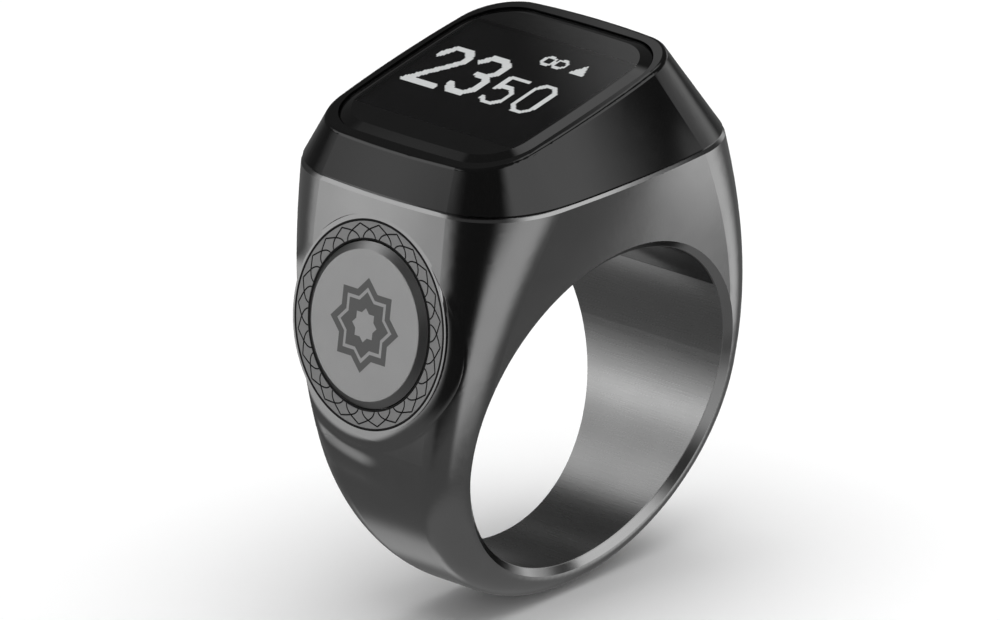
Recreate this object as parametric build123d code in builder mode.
from build123d import *
import math
import os

# A smart finger-ring counter: a metal shank with a display head on top and one push button on its side.
# Millimetres. The bore axis is Y, +Z points to the display, the button is on the -X side,
# and the origin is the centre of the finger bore.

# Finger bore and shank
bore_radius = 10.0
bore_chamfer = 0.45
band_wall = 2.0
side_wall = 2.25
band_half_width = 3.0
band_round = 2.3

# Head outline at the parting plane between shank and bezel, measured out from the window
head_margin_x = 3.13
head_margin_y = 2.65
head_bulge = 0.85
band_bulge = 0.005
head_corner = 5.2
parting_bevel = 0.18

# Slanted display window, measured out from the panel
lens_tilt = 11.3
lens_centre_x = -1.09
lens_rise = 4.03
lens_margin_x = 2.32
lens_margin_y = 0.9
lens_bulge = 0.18
lens_corner = 3.3
lens_thickness = 0.55
lens_bevel_width = 0.65
lens_bevel_height = 0.22
lens_gap = 0.07
lens_proud = 0.1
adhesive_thickness = 0.12
rim_width_x = 0.86
rim_width_y = 0.62
rim_bulge = 0.5
rim_corner = 3.4
rim_round = 0.3
ledge_thickness = 0.8
ledge_inset = 0.6
window_corner = 0.5

# Display module behind the window
panel_length = 12.9
panel_width = 10.2
panel_thickness = 1.2
panel_gap = 0.2
foam_thickness = 0.35
foam_inset = 0.8
frame_plate = 0.5
frame_leg = 0.9
flex_thickness = 0.12
display_flex_width = 3.4
display_flex_bend = 0.8
display_flex_reach = 1.3

# Electronics stack above the bore
cover_thickness = 0.6
cover_half_angle = 59.0
cover_setback = 0.6
cover_gap = 0.03
floor_wall = 0.7
battery_seat = 0.05
battery_margin_x = 0.1
battery_setback_y = 1.85
battery_thickness = 1.85
battery_round = 0.5
pad_thickness = 0.3
pad_inset = 1.0
board_thickness = 0.5
board_clearance = 0.1
board_gap = 0.12
skirt_depth = 0.7
skirt_wall = 0.7
skirt_gap = 0.06

# Cavity in the head
cavity_wall_x = 1.65
cavity_wall_y = 2.4
cavity_corner = 3.8
board_ledge = 0.4
button_side_wall = 0.9
cavity_depth = 5.5
seal_width = 0.6
seal_depth = 0.4
seal_gap = 0.04

# Board fasteners and charging contacts
post_radius = 0.95
post_inset = 0.9
screw_radius = 0.42
screw_fit = 0.04
screw_length = 2.4
screw_head_radius = 0.85
screw_head_height = 0.45
screw_slot_width = 0.2
screw_slot_depth = 0.2
contact_spacing = 2.6
contact_pad_radius = 0.75
contact_stem_radius = 0.4
contact_fit = 0.05
board_hole_fit = 0.08
fastener_gap = 0.3

# Vibration motor
motor_radius = 1.5
motor_length = 7.5
motor_fit = 0.03
boot_wall = 0.35
boot_length = 5.5
boot_gap = 0.3
rotor_shaft_radius = 0.4
rotor_shaft_fit = 0.03
rotor_shaft_seat = 1.0
rotor_gap = 0.4
weight_radius = 1.35
weight_length = 2.6
weight_hub_radius = 0.7
lead_radius = 0.16
lead_reach = 0.6
lead_bend = 0.3
lead_spacing = 0.8

# Side button
button_height_share = 0.5088
button_stand = 0.18
button_lean = 12.7
button_radius = 4.75
button_proud = 0.35
button_bevel = 0.45
button_travel = 0.3
ring_gap = 0.06
ring_width = 1.18
ring_depth = 0.7
ring_fit = 0.02
ring_bevel = 0.08
flange_width = 0.5
flange_thickness = 0.45
flange_gap = 0.1
button_seal_width = 0.7
button_seal_height = 0.3
seal_clearance = 0.05
pad_rim = 0.32
pad_round = 0.15
pad_cove = 1.8
pad_foot = 1.25
dome_gap = 0.1
plunger_gap = 0.02
plunger_radius = 0.9
dome_radius = 1.4
dome_height = 0.38
dome_sheet = 0.1
switch_size = 3.4
switch_height = 0.5
switch_gap = 0.15
switch_round = 0.4
switch_flex_width = 2.4
switch_flex_thickness = 0.15

# Board components
chip_size = 4.0
chip_height = 0.6
chip_bevel = 0.1
shield_length = 4.0
shield_height = 0.9
shield_sheet = 0.15
antenna_length = 3.2
antenna_width = 1.6
antenna_height = 0.8
antenna_inset = 1.2
socket_length = 3.8
socket_width = 1.5
socket_height = 0.7
passive_length = 1.0
passive_width = 0.5
passive_height = 0.45
passive_pitch = 1.1
component_gap = 0.5

overrun = 2.0

os.makedirs("parts", exist_ok=True)

# Sizes that grow outward from the display panel
lens_half_x = panel_width / 2 + lens_margin_x
lens_half_y = panel_length / 2 + lens_margin_y
head_half_x = lens_half_x + head_margin_x
head_half_y = lens_half_y + head_margin_y
cavity_half_x = head_half_x - cavity_wall_x
cavity_half_y = head_half_y - cavity_wall_y
battery_width = panel_width + 2 * battery_margin_x
battery_length = panel_length - 2 * battery_setback_y

# Heights worked out from the stack, from the bore upward
floor_radius = bore_radius + cover_thickness + floor_wall
battery_bottom = floor_radius + battery_seat
battery_top = battery_bottom + battery_thickness
board_bottom = battery_top + pad_thickness
board_top = board_bottom + board_thickness
skirt_bottom = board_top + board_clearance
parting_height = skirt_bottom + skirt_depth
band_radius = bore_radius + band_wall
side_half_x = bore_radius + side_wall

# Side outline: a parabola that leaves the widest point upright and ends at the head's edge
side_inset = side_half_x - head_half_x
front_slope = (head_half_y - band_half_width) / (parting_height + band_radius)
reach = side_half_x + head_half_y


def half_x(height):
    """Half width of the upper shank's outline at a height above the bore axis."""
    return side_half_x - side_inset * (height / parting_height) ** 2


def half_y(height):
    """Half depth of the shank at a height above the bore axis."""
    return band_half_width + front_slope * (height + band_radius)


def swollen_outline(size_x, size_y, bulge, corner):
    """A rounded rectangle whose four sides swell outward."""
    corner_x = size_x - bulge
    corner_y = size_y - bulge
    with BuildSketch() as outline:
        with BuildLine():
            ThreePointArc((corner_x, -corner_y), (size_x, 0), (corner_x, corner_y))
            ThreePointArc((corner_x, corner_y), (0, size_y), (-corner_x, corner_y))
            ThreePointArc((-corner_x, corner_y), (-size_x, 0), (-corner_x, -corner_y))
            ThreePointArc((-corner_x, -corner_y), (0, -size_y), (corner_x, -corner_y))
        make_face()
        fillet(outline.vertices(), corner)
    return outline.sketch


def front_wedge(setback):
    """The side view of the shank, narrow at the bottom, with its faces set back."""
    low = -band_radius - overrun
    high = parting_height + overrun
    with BuildSketch() as wedge:
        with BuildLine():
            Polyline(
                (half_y(low) - setback, low),
                (half_y(high) - setback, high),
                (setback - half_y(high), high),
                (setback - half_y(low), low),
                close=True,
            )
        make_face()
    return wedge.sketch


# Planes of the slanted window and of the button
tilt_sine = math.sin(math.radians(lens_tilt))
tilt_cosine = math.cos(math.radians(lens_tilt))
lens_height = parting_height + lens_rise
lens_plane = Plane(
    origin=(lens_centre_x, 0, lens_height),
    x_dir=(tilt_cosine, 0, tilt_sine),
    z_dir=(-tilt_sine, 0, tilt_cosine),
)
button_z = button_height_share * parting_height
button_x = half_x(button_z) + button_stand
lean_sine = math.sin(math.radians(button_lean))
lean_cosine = math.cos(math.radians(button_lean))
button_plane = Plane(
    origin=(-button_x, 0, button_z),
    x_dir=(0, 1, 0),
    z_dir=(lean_cosine, 0, -lean_sine),
)

# Radii and levels of the button, the levels measured inward from its face
ring_outer_radius = button_radius + ring_gap + ring_width
flange_bottom = ring_depth + flange_thickness
recess_depth = flange_bottom + button_travel + seal_clearance + button_seal_height
recess_radius = button_radius + flange_width + flange_gap
dome_top = recess_depth + dome_gap
switch_top = dome_top + dome_height
switch_bottom = switch_top + switch_height
pocket_depth = switch_bottom + switch_flex_thickness
slot_length = (board_bottom - button_z + pocket_depth * lean_sine) / lean_cosine

# Places inside the head
lower_max_x = cavity_half_x - board_ledge
lower_half_y = cavity_half_y - board_ledge
lower_min_x = button_side_wall - button_x + recess_depth * lean_cosine + recess_radius * lean_sine
motor_x = lower_max_x - boot_wall - motor_radius
motor_z = board_bottom - boot_wall - motor_radius
motor_front = (weight_length + rotor_gap - motor_length - lead_reach) / 2
motor_back = motor_front + motor_length
boot_min_x = motor_x - motor_radius - boot_wall
battery_x = boot_min_x - boot_gap - battery_width / 2
post_x = battery_x - battery_width / 2 + post_inset
post_y = battery_length / 2 + fastener_gap + post_radius
contact_y = battery_length / 2 + fastener_gap + contact_pad_radius
ceiling_radius = bore_radius + cover_thickness
post_places = [(post_x, post_y), (post_x, -post_y)]
contact_places = [(-contact_spacing / 2, contact_y), (contact_spacing / 2, contact_y)]

# Depths below the window's outer face
ledge_top = lens_thickness + adhesive_thickness
ledge_bottom = ledge_top + ledge_thickness
panel_back = lens_thickness + panel_thickness
plate_top = panel_back + foam_thickness
plate_bottom = plate_top + frame_plate

# Heights at which the upper shank is sectioned, as shares of the parting height
section_shares = (1.0, 0.72, 0.45, 0.2, 0.0, -0.15)


def window_point(across, depth):
    """X and Z of a point across the slanted window and below its outer face."""
    x = lens_centre_x + across * tilt_cosine + depth * tilt_sine
    z = lens_height + across * tilt_sine - depth * tilt_cosine
    return (x, z)


def window_height(x, depth):
    """Height at which a plane below the window's outer face passes over X."""
    return lens_height + ((x - lens_centre_x) * tilt_sine - depth) / tilt_cosine


def ceiling_sector(inner, outer, half_angle, setback):
    """A curved slab over the bore, from one slanted shank face to the other."""
    with BuildPart() as slab:
        with BuildSketch(Plane.XZ):
            with BuildLine():
                high = CenterArc((0, 0), outer, 90 - half_angle, 2 * half_angle)
                low = CenterArc((0, 0), inner, 90 - half_angle, 2 * half_angle)
                Line(high @ 0, low @ 0)
                Line(high @ 1, low @ 1)
            make_face()
        extrude(amount=reach, both=True)
        with BuildSketch(Plane.YZ):
            add(front_wedge(setback))
        extrude(amount=reach, both=True, mode=Mode.INTERSECT)
    return slab.part


def bore_cylinder(radius):
    """A cylinder about the bore axis, longer than the shank is deep."""
    with BuildPart() as cylinder:
        with BuildSketch(Plane.XZ):
            Circle(radius)
        extrude(amount=reach, both=True)
    return cylinder.part


def wire(points):
    """A round lead along straight runs with rounded bends."""
    with BuildPart() as lead:
        with BuildLine() as route:
            FilletPolyline(*points, radius=lead_bend)
        with BuildSketch(Plane(origin=route.line @ 0, z_dir=route.line % 0)):
            Circle(lead_radius)
        sweep()
    return lead.part


def save(part, name):
    """Label a finished piece and write it out."""
    part.label = name
    export_step(part, f"parts/{name}.step")


# Band below the bore axis: an elliptical outline cut to the slanted side view, with rounded outer edges
with BuildPart() as band:
    with BuildSketch(Plane.XZ):
        with BuildLine():
            EllipticalCenterArc((0, 0), side_half_x, band_radius, start_angle=180, arc_size=180)
            Polyline((side_half_x, 0), (side_half_x, overrun), (-side_half_x, overrun), (-side_half_x, 0))
        make_face()
    extrude(amount=reach, both=True)
    with BuildSketch(Plane.YZ):
        add(front_wedge(0))
    extrude(amount=reach, both=True, mode=Mode.INTERSECT)
    ends = band.faces().sort_by(Axis.Y)
    for end in (ends[0], ends[-1]):
        fillet(end.edges().sort_by(Axis.Z)[:-1], band_round)
    split(bisect_by=Plane.XY, keep=Keep.BOTTOM)

# Hollow for the electronics, ending on the wall over the bore
with BuildPart() as hollow:
    with BuildSketch(Plane.XY.offset(board_bottom)):
        with Locations(((lower_max_x + lower_min_x) / 2, 0)):
            RectangleRounded(lower_max_x - lower_min_x, 2 * lower_half_y, cavity_corner - board_ledge)
    extrude(amount=-cavity_depth)
    add(bore_cylinder(floor_radius), mode=Mode.SUBTRACT)
    with BuildSketch(Plane.XY.offset(board_bottom)):
        RectangleRounded(2 * cavity_half_x, 2 * cavity_half_y, cavity_corner)
    extrude(amount=parting_height - board_bottom)
    with BuildSketch(Plane.XY.offset(parting_height - seal_depth)):
        RectangleRounded(
            2 * (cavity_half_x + seal_width),
            2 * (cavity_half_y + seal_width),
            cavity_corner + seal_width,
        )
    extrude(amount=seal_depth + overrun)

# Bevels at both mouths of the bore, centred on its axis and parallel to the slanted faces
with BuildPart() as bore_flare:
    for side in (-1, 1):
        for depth in (-overrun, 2 * bore_chamfer):
            mouth = Plane(
                origin=(0, side * (half_y(0) - depth), 0),
                x_dir=(1, 0, 0),
                z_dir=(0, side, -front_slope),
            )
            mouth_radius = bore_radius + bore_chamfer - depth
            with BuildSketch(mouth):
                Ellipse(mouth_radius, mouth_radius * math.hypot(1, front_slope))
        loft()

# Recess in the bore's ceiling for the inner cover
with BuildPart() as cover_recess:
    add(ceiling_sector(bore_radius - cover_thickness, ceiling_radius, cover_half_angle, cover_setback))

# Pad that carries the button, with a rounded rim and a cove at its foot, turned about the button's axis
pad_radius = ring_outer_radius + pad_rim
foot_radius = pad_radius + pad_cove - math.sqrt(pad_cove ** 2 - pad_foot ** 2)
pad_plane = Plane(origin=button_plane.origin, x_dir=(0, 1, 0), z_dir=(-lean_sine, 0, -lean_cosine))
with BuildPart() as button_pad:
    with BuildSketch(pad_plane):
        with BuildLine():
            RadiusArc((foot_radius, pad_foot), (pad_radius, pad_round), pad_cove)
            RadiusArc((pad_radius, pad_round), (pad_radius - pad_round, 0), -pad_round)
            Polyline(
                (pad_radius - pad_round, 0),
                (0, 0),
                (0, pocket_depth),
                (foot_radius, pocket_depth),
                (foot_radius, pad_foot),
            )
        make_face()
    revolve(axis=Axis(button_plane.origin, button_plane.z_dir))

# Shank: lofted upper body, band, button pad, then the bore and the pockets
with BuildPart() as shank:
    for share in section_shares:
        height = share * parting_height
        bulge = band_bulge + (head_bulge - band_bulge) * share ** 2
        corner = band_round + (head_corner - band_round) * share ** 2
        with BuildSketch(Plane.XY.offset(height)):
            add(swollen_outline(half_x(height), half_y(height), bulge, corner))
    loft()
    split(bisect_by=Plane.XY, keep=Keep.TOP)
    add(band.part)
    chamfer(shank.faces().sort_by(Axis.Z)[-1].edges(), parting_bevel)
    add(button_pad.part)
    with BuildSketch(button_plane):
        Circle(pad_radius)
    extrude(amount=-overrun, mode=Mode.SUBTRACT)
    add(hollow.part, mode=Mode.SUBTRACT)
    with BuildSketch(Plane.XY.offset(board_bottom)):
        with Locations(*post_places):
            Circle(post_radius)
    extrude(amount=bore_radius - board_bottom)
    add(bore_cylinder(bore_radius), mode=Mode.SUBTRACT)
    add(bore_flare.part, mode=Mode.SUBTRACT)
    add(cover_recess.part, mode=Mode.SUBTRACT)
    with BuildSketch(Plane.XY.offset(board_bottom)):
        with Locations(*post_places):
            Circle(screw_radius + screw_fit)
    extrude(amount=board_thickness - screw_length, mode=Mode.SUBTRACT)
    with BuildSketch(Plane.XY.offset(board_bottom)):
        with Locations(*contact_places):
            Circle(contact_stem_radius + contact_fit)
    extrude(amount=bore_radius - board_bottom, mode=Mode.SUBTRACT)
    with BuildSketch(button_plane):
        Circle(ring_outer_radius + ring_fit)
    extrude(amount=ring_depth, mode=Mode.SUBTRACT)
    with BuildSketch(button_plane):
        Circle(recess_radius)
    extrude(amount=recess_depth, mode=Mode.SUBTRACT)
    with BuildSketch(button_plane.offset(recess_depth)):
        RectangleRounded(switch_size + 2 * switch_gap, switch_size + 2 * switch_gap, switch_round)
    extrude(amount=pocket_depth - recess_depth, mode=Mode.SUBTRACT)
    with BuildSketch(button_plane.offset(switch_top)):
        with Locations((0, slot_length / 2)):
            Rectangle(switch_flex_width + 2 * switch_gap, slot_length)
    extrude(amount=pocket_depth - switch_top, mode=Mode.SUBTRACT)
save(shank.part, "shank")

# Inner cover: the black curved liner in the bore's ceiling
cover_edge_angle = cover_half_angle - math.degrees(cover_gap / bore_radius)
with BuildPart() as inner_cover:
    cover_top = ceiling_radius - cover_gap
    add(ceiling_sector(bore_radius, cover_top, cover_edge_angle, cover_setback + cover_gap))
    with BuildSketch(Plane.XY):
        with Locations(*contact_places):
            Circle(contact_pad_radius + contact_fit)
    extrude(amount=parting_height, mode=Mode.SUBTRACT)
save(inner_cover.part, "inner_cover")

# Charging contacts: two pads flush with the bore, on stems that reach the board
pad_edge = contact_spacing / 2 + contact_pad_radius
pad_top = math.sqrt(ceiling_radius ** 2 - pad_edge ** 2) - cover_gap
with BuildPart() as charge_contacts:
    with BuildSketch(Plane.XY.offset(pad_top)):
        with Locations(*contact_places):
            Circle(contact_pad_radius)
    extrude(amount=bore_radius - cover_thickness - pad_top)
    with BuildSketch(Plane.XY.offset(pad_top)):
        with Locations(*contact_places):
            Circle(contact_stem_radius)
    extrude(amount=board_bottom - pad_top)
    add(bore_cylinder(bore_radius), mode=Mode.SUBTRACT)
save(charge_contacts.part, "charge_contacts")

# Battery: a small pouch cell over the bore
with BuildPart() as battery_cell:
    with BuildSketch(Plane.XY.offset(battery_bottom)):
        with Locations((battery_x, 0)):
            RectangleRounded(battery_width, battery_length, battery_round)
    extrude(amount=battery_thickness)
    fillet(battery_cell.edges().group_by(Axis.Z)[-1], battery_round / 2)
save(battery_cell.part, "battery_cell")

with BuildPart() as battery_pad:
    with BuildSketch(Plane.XY.offset(battery_top)):
        with Locations((battery_x, 0)):
            RectangleRounded(battery_width - 2 * pad_inset, battery_length - 2 * pad_inset, battery_round)
    extrude(amount=pad_thickness)
save(battery_pad.part, "battery_pad")

battery_end = -battery_length / 2
battery_middle = (battery_bottom + battery_top) / 2
with BuildPart() as battery_leads:
    for side in (-1, 1):
        lead_x = battery_x + side * lead_spacing / 2
        lead_end = battery_end - lead_reach
        lead_turn = (lead_x, lead_end, battery_middle)
        add(wire([(lead_x, battery_end, battery_middle), lead_turn, (lead_x, lead_end, board_bottom)]))
save(battery_leads.part, "battery_leads")

# Main circuit board, resting on the ledge around the cavity
with BuildPart() as main_board:
    with BuildSketch(Plane.XY.offset(board_bottom)):
        RectangleRounded(
            2 * (cavity_half_x - board_gap),
            2 * (cavity_half_y - board_gap),
            cavity_corner - board_gap,
        )
        with Locations(*post_places):
            Circle(screw_radius + board_hole_fit, mode=Mode.SUBTRACT)
    extrude(amount=board_thickness)
save(main_board.part, "main_board")

with BuildPart() as board_screws:
    with BuildSketch(Plane.XY.offset(board_top)):
        with Locations(*post_places):
            Circle(screw_head_radius)
    extrude(amount=screw_head_height)
    with BuildSketch(Plane.XY.offset(board_top)):
        with Locations(*post_places):
            Circle(screw_radius)
    extrude(amount=-screw_length)
    with BuildSketch(Plane.XY.offset(board_top + screw_head_height)):
        with Locations(*post_places):
            Rectangle(screw_head_radius, screw_slot_width)
            Rectangle(screw_slot_width, screw_head_radius)
    extrude(amount=-screw_slot_depth, mode=Mode.SUBTRACT)
save(board_screws.part, "board_screws")

# Display frame: a slanted tray on two walls that stand on the board
frame_left, frame_left_z = window_point(-panel_width / 2, plate_top)
frame_right, frame_right_z = window_point(panel_width / 2, plate_top)
frame_half_y = post_y - screw_head_radius - fastener_gap
inner_left = frame_left + frame_leg
inner_right = frame_right - frame_leg
with BuildPart() as display_frame:
    with BuildSketch(Plane.XZ):
        with BuildLine():
            Polyline(
                (frame_left, frame_left_z),
                (frame_right, frame_right_z),
                (frame_right, board_top),
                (inner_right, board_top),
                (inner_right, window_height(inner_right, plate_bottom)),
                (inner_left, window_height(inner_left, plate_bottom)),
                (inner_left, board_top),
                (frame_left, board_top),
                close=True,
            )
        make_face()
    extrude(amount=frame_half_y, both=True)
save(display_frame.part, "display_frame")

with BuildPart() as display_foam:
    with BuildSketch(lens_plane.offset(-plate_top)):
        Rectangle(panel_width - 2 * foam_inset, 2 * frame_half_y - 2 * foam_inset)
    extrude(amount=foam_thickness)
save(display_foam.part, "display_foam")

# Display panel, laminated to the back of the window
with BuildPart() as display_panel:
    with BuildSketch(lens_plane.offset(-panel_back)):
        Rectangle(panel_width, panel_length)
    extrude(amount=panel_thickness)
save(display_panel.part, "display_panel")

# Display flex: from the panel's edge, over and down to its socket
flex_depth = panel_back - flex_thickness
flex_start = window_point(panel_width / 2, flex_depth)
flex_turn = window_point(panel_width / 2 + display_flex_reach, flex_depth)
socket_top = board_top + socket_height
with BuildPart() as display_flex:
    with BuildSketch(Plane.XZ):
        with BuildLine():
            FilletPolyline(flex_start, flex_turn, (flex_turn[0], socket_top), radius=display_flex_bend)
        trace(line_width=flex_thickness)
    extrude(amount=display_flex_width / 2, both=True)
    split(bisect_by=Plane.XY.offset(socket_top), keep=Keep.TOP)
    panel_edge = Plane(origin=lens_plane.from_local_coords((panel_width / 2, 0, 0)), z_dir=lens_plane.x_dir)
    split(bisect_by=panel_edge, keep=Keep.TOP)
save(display_flex.part, "display_flex")

# Parts soldered to the top of the board
with BuildPart() as display_socket:
    with BuildSketch(Plane.XY.offset(board_top)):
        with Locations((flex_turn[0], 0)):
            Rectangle(socket_width, socket_length)
    extrude(amount=socket_height)
save(display_socket.part, "display_socket")

chip_x = post_x + screw_head_radius + component_gap + chip_size / 2
chip_y = (component_gap + chip_size) / 2
with BuildPart() as processor_chip:
    with BuildSketch(Plane.XY.offset(board_top)):
        with Locations((chip_x, chip_y)):
            Rectangle(chip_size, chip_size)
    extrude(amount=chip_height)
    chamfer(processor_chip.edges().group_by(Axis.Z)[-1], chip_bevel)
save(processor_chip.part, "processor_chip")

passive_half_span = passive_length + component_gap / 2
shield_left = chip_x + passive_half_span + component_gap
shield_width = inner_right - component_gap - shield_left
shield_x = shield_left + shield_width / 2
shield_y = -(component_gap + shield_length) / 2
with BuildPart() as radio_shield:
    with BuildSketch(Plane.XY.offset(board_top)):
        with Locations((shield_x, shield_y)):
            Rectangle(shield_width, shield_length)
    extrude(amount=shield_height)
    offset(amount=-shield_sheet, openings=radio_shield.faces().sort_by(Axis.Z)[0])
save(radio_shield.part, "radio_shield")

skirt_inner_x = cavity_half_x - skirt_gap - skirt_wall
skirt_inner_y = cavity_half_y - skirt_gap - skirt_wall
antenna_x = skirt_inner_x - antenna_inset - antenna_width / 2
antenna_y = -(socket_length + antenna_length) / 2 - component_gap
with BuildPart() as chip_antenna:
    with BuildSketch(Plane.XY.offset(board_top)):
        with Locations((antenna_x, antenna_y)):
            Rectangle(antenna_width, antenna_length)
    extrude(amount=antenna_height)
save(chip_antenna.part, "chip_antenna")

passive_y = shield_y
with BuildPart() as board_passives:
    with BuildSketch(Plane.XY.offset(board_top)):
        with Locations((chip_x, passive_y)):
            with GridLocations(passive_length + component_gap, passive_pitch, 2, 3):
                Rectangle(passive_length, passive_width)
    extrude(amount=passive_height)
save(board_passives.part, "board_passives")

# Vibration motor: can, rubber boot, leads, and the rotor that turns in it
with BuildPart() as motor_can:
    with BuildSketch(Plane.XZ.offset(-motor_front)):
        with Locations((motor_x, motor_z)):
            Circle(motor_radius)
    extrude(amount=-motor_length)
    with BuildSketch(Plane.XZ.offset(-motor_front)):
        with Locations((motor_x, motor_z)):
            Circle(rotor_shaft_radius + rotor_shaft_fit)
    extrude(amount=-rotor_shaft_seat, mode=Mode.SUBTRACT)
save(motor_can.part, "motor_can")

boot_middle = (motor_front + motor_back) / 2
with BuildPart() as motor_boot:
    with BuildSketch(Plane.XZ.offset(boot_length / 2 - boot_middle)):
        with Locations(((boot_min_x + lower_max_x) / 2, motor_z)):
            Rectangle(lower_max_x - boot_min_x, 2 * (motor_radius + boot_wall))
            Circle(motor_radius + motor_fit, mode=Mode.SUBTRACT)
    extrude(amount=-boot_length)
    add(bore_cylinder(floor_radius + battery_seat), mode=Mode.SUBTRACT)
save(motor_boot.part, "motor_boot")

with BuildPart() as motor_leads:
    for side in (-1, 1):
        lead_x = motor_x + side * lead_spacing / 2
        lead_end = motor_back + lead_reach
        lead_turn = (lead_x, lead_end, motor_z)
        add(wire([(lead_x, motor_back, motor_z), lead_turn, (lead_x, lead_end, board_bottom)]))
save(motor_leads.part, "motor_leads")

weight_front = motor_front - rotor_gap - weight_length
with BuildPart() as motor_shaft:
    with BuildSketch(Plane.XZ.offset(-weight_front)):
        with Locations((motor_x, motor_z)):
            Circle(rotor_shaft_radius)
    extrude(amount=-(weight_length + rotor_gap + rotor_shaft_seat - rotor_shaft_fit))
save(motor_shaft.part, "motor_shaft")

with BuildPart() as motor_weight:
    with BuildSketch(Plane.XZ.offset(-weight_front)):
        with Locations((motor_x, motor_z)):
            Circle(weight_radius)
        with Locations((motor_x, motor_z + weight_radius)):
            Rectangle(2 * weight_radius, 2 * weight_radius, mode=Mode.SUBTRACT)
        with Locations((motor_x, motor_z)):
            Circle(weight_hub_radius)
            Circle(rotor_shaft_radius + rotor_shaft_fit, mode=Mode.SUBTRACT)
    extrude(amount=-weight_length)
save(motor_weight.part, "motor_weight")

# Bezel: a black frame with slanted sides, an opening for the panel and a skirt inside the shank
with BuildPart() as bezel:
    with BuildSketch(Plane.XY.offset(parting_height)):
        add(swollen_outline(head_half_x, head_half_y, head_bulge, head_corner))
    with BuildSketch(lens_plane.offset(-lens_proud)):
        add(swollen_outline(lens_half_x + rim_width_x, lens_half_y + rim_width_y, rim_bulge, rim_corner))
    loft(ruled=True)
    fillet(bezel.faces().sort_by(Axis.Z)[-1].edges(), rim_round)
    chamfer(bezel.faces().sort_by(Axis.Z)[0].edges(), parting_bevel)
    with BuildSketch(Plane.XY.offset(parting_height)):
        RectangleRounded(2 * skirt_inner_x, 2 * skirt_inner_y, cavity_corner - skirt_gap - skirt_wall)
    with BuildSketch(lens_plane.offset(-ledge_bottom)):
        RectangleRounded(
            2 * (lens_half_x - ledge_inset),
            2 * (lens_half_y - ledge_inset),
            lens_corner - ledge_inset,
        )
    loft(ruled=True, mode=Mode.SUBTRACT)
    with BuildSketch(lens_plane.offset(-ledge_top)):
        add(swollen_outline(lens_half_x + lens_gap, lens_half_y + lens_gap, lens_bulge, lens_corner))
    extrude(amount=ledge_top + overrun, mode=Mode.SUBTRACT)
    with BuildSketch(lens_plane.offset(-ledge_bottom - panel_gap)):
        RectangleRounded(panel_width + 2 * panel_gap, panel_length + 2 * panel_gap, window_corner)
    extrude(amount=ledge_bottom + panel_gap, mode=Mode.SUBTRACT)
    with BuildSketch(Plane.XY.offset(parting_height)):
        RectangleRounded(
            2 * (cavity_half_x - skirt_gap),
            2 * (cavity_half_y - skirt_gap),
            cavity_corner - skirt_gap,
        )
        RectangleRounded(
            2 * skirt_inner_x, 2 * skirt_inner_y, cavity_corner - skirt_gap - skirt_wall, mode=Mode.SUBTRACT
        )
    extrude(amount=-skirt_depth)
save(bezel.part, "bezel")

with BuildPart() as head_seal:
    with BuildSketch(Plane.XY.offset(parting_height - seal_depth)):
        RectangleRounded(
            2 * (cavity_half_x + seal_width - seal_gap),
            2 * (cavity_half_y + seal_width - seal_gap),
            cavity_corner + seal_width - seal_gap,
        )
        RectangleRounded(2 * cavity_half_x, 2 * cavity_half_y, cavity_corner, mode=Mode.SUBTRACT)
    extrude(amount=seal_depth - seal_gap)
save(head_seal.part, "head_seal")

# Window: a glass plate with a broad polished bevel
with BuildPart() as lens:
    with BuildSketch(lens_plane.offset(-lens_thickness)):
        add(swollen_outline(lens_half_x, lens_half_y, lens_bulge, lens_corner))
    extrude(amount=lens_thickness - lens_bevel_height)
    with BuildSketch(lens_plane.offset(-lens_bevel_height)):
        add(swollen_outline(lens_half_x, lens_half_y, lens_bulge, lens_corner))
    with BuildSketch(lens_plane):
        bevel_x = lens_half_x - lens_bevel_width
        bevel_y = lens_half_y - lens_bevel_width
        add(swollen_outline(bevel_x, bevel_y, lens_bulge, lens_corner - lens_bevel_width))
    loft(ruled=True)
save(lens.part, "lens")

with BuildPart() as lens_adhesive:
    with BuildSketch(lens_plane.offset(-ledge_top)):
        add(swollen_outline(lens_half_x - lens_gap, lens_half_y - lens_gap, lens_bulge, lens_corner))
        RectangleRounded(
            panel_width + 2 * panel_gap, panel_length + 2 * panel_gap, window_corner, mode=Mode.SUBTRACT
        )
    extrude(amount=adhesive_thickness)
save(lens_adhesive.part, "lens_adhesive")

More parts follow.
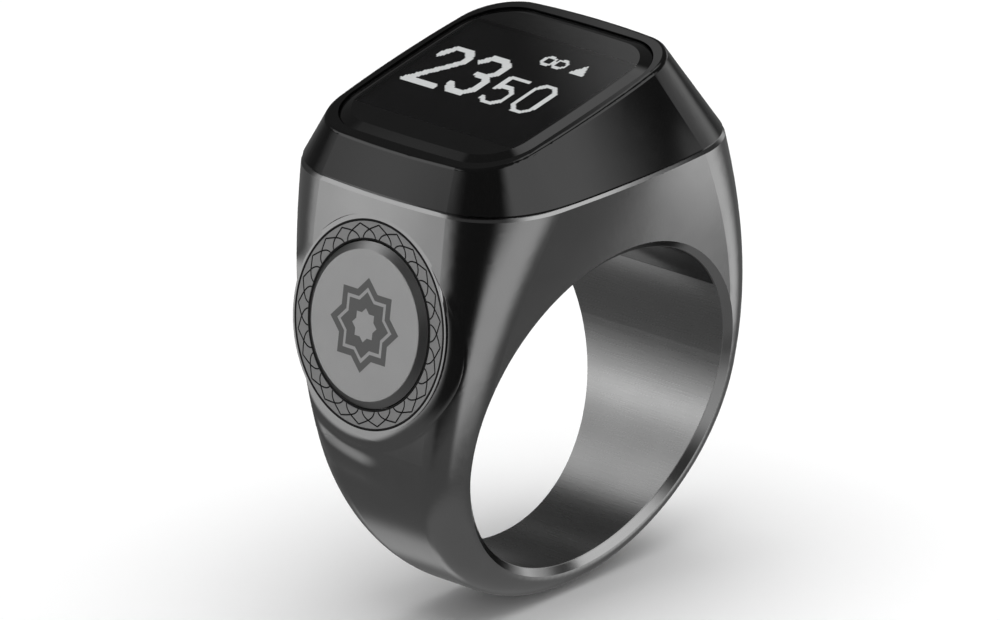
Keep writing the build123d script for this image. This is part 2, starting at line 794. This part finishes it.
# Side button: cap with a broad bevel, a retaining flange and a plunger, then trim ring, seal and switch
with BuildPart() as button_cap:
    with BuildSketch(button_plane):
        Circle(button_radius)
    with BuildSketch(button_plane.offset(-button_proud)):
        Circle(button_radius - button_bevel)
    loft()
    with BuildSketch(button_plane):
        Circle(button_radius)
    extrude(amount=flange_bottom)
    with BuildSketch(button_plane.offset(ring_depth)):
        Circle(button_radius + flange_width)
    extrude(amount=flange_thickness)
    with BuildSketch(button_plane.offset(flange_bottom)):
        Circle(plunger_radius)
    extrude(amount=dome_top - plunger_gap - flange_bottom)
save(button_cap.part, "button_cap")

with BuildPart() as button_ring:
    with BuildSketch(button_plane):
        Circle(ring_outer_radius)
        Circle(ring_outer_radius - ring_width, mode=Mode.SUBTRACT)
    extrude(amount=ring_depth)
    chamfer(button_ring.edges().group_by(Axis(button_plane.origin, button_plane.z_dir))[0], ring_bevel)
save(button_ring.part, "button_ring")

with BuildPart() as button_seal:
    with BuildSketch(button_plane.offset(recess_depth - button_seal_height)):
        Circle(recess_radius - seal_clearance)
        Circle(recess_radius - seal_clearance - button_seal_width, mode=Mode.SUBTRACT)
    extrude(amount=button_seal_height)
save(button_seal.part, "button_seal")

with BuildPart() as switch_body:
    with BuildSketch(button_plane.offset(switch_top)):
        RectangleRounded(switch_size, switch_size, switch_round)
    extrude(amount=switch_height)
save(switch_body.part, "switch_body")

# Snap dome: a thin domed disc on the switch
dome_sphere = (dome_radius ** 2 + dome_height ** 2) / (2 * dome_height)
dome_inner = dome_sphere - dome_sheet
with BuildPart() as switch_dome:
    with Locations(button_plane.offset(dome_top + dome_sphere)):
        Sphere(dome_sphere)
        Sphere(dome_inner, mode=Mode.SUBTRACT)
    with BuildSketch(button_plane.offset(switch_top)):
        Rectangle(reach, reach)
    extrude(amount=reach, mode=Mode.SUBTRACT)
save(switch_dome.part, "switch_dome")

with BuildPart() as switch_flex:
    with BuildSketch(button_plane.offset(switch_bottom)):
        with Locations((0, slot_length / 2 - switch_size / 4)):
            Rectangle(switch_flex_width, slot_length + switch_size / 2)
    extrude(amount=switch_flex_thickness)
    split(bisect_by=Plane.XY.offset(board_bottom), keep=Keep.BOTTOM)
save(switch_flex.part, "switch_flex")
